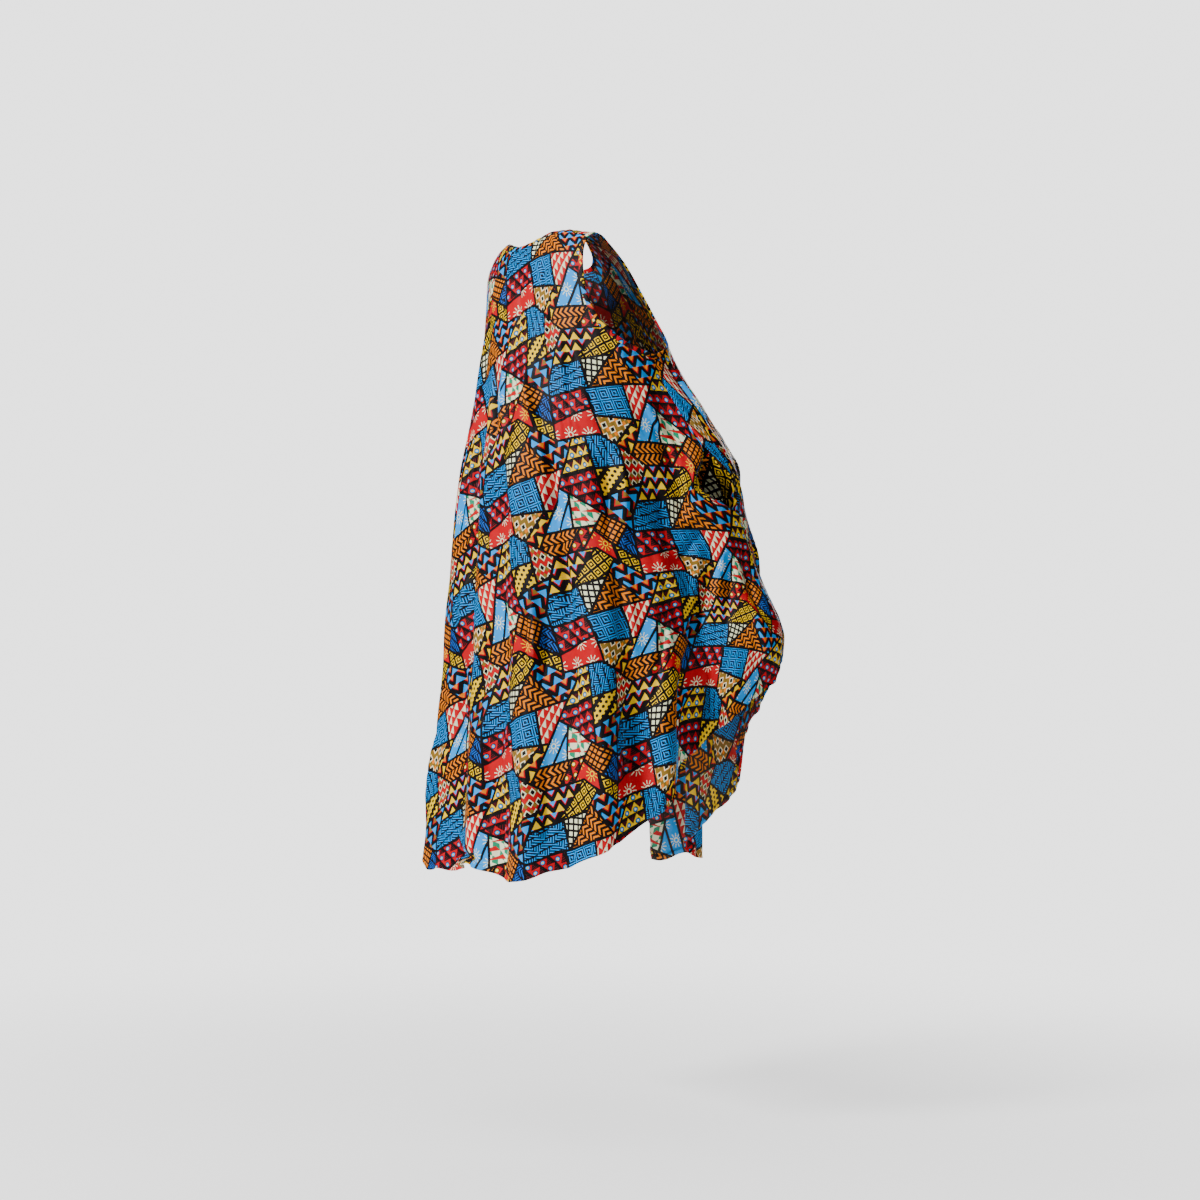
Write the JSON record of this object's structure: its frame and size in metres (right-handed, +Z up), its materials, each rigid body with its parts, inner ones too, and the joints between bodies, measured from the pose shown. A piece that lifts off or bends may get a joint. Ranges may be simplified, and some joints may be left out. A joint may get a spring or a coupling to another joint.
{
  "type": "sleeveless a-line dress",
  "caption": "Loose sleeveless A-line dress in printed cotton, in its worn form, with bias-bound neck and armholes, a side-seam pocket pulled open and a hem that dips front and back.",
  "frame": {"origin": "midway between the two shoulder seams at the height of their outer ends, where the wearer's shoulders hold the dress", "axes": "+Z up, -Y out of the dress's front, +Y out of its back, -X towards the wearer's right"},
  "size_m": [0.6369, 0.4815, 1.1042],
  "materials": {
    "print_cloth": "crisp printed cotton with a slight wax sheen",
    "binding_cloth": "bias strip of the same printed cotton, edge stitched",
    "pocket_cloth": "the same printed cotton, unpressed"
  },
  "bodies": {
    "root": {"back_panel": "print_cloth", "front_panel": "print_cloth", "neck_binding": "binding_cloth", "armhole_binding_right": "binding_cloth", "armhole_binding_left": "binding_cloth", "pocket_bag_right": "pocket_cloth"}
  },
  "joints": []
}
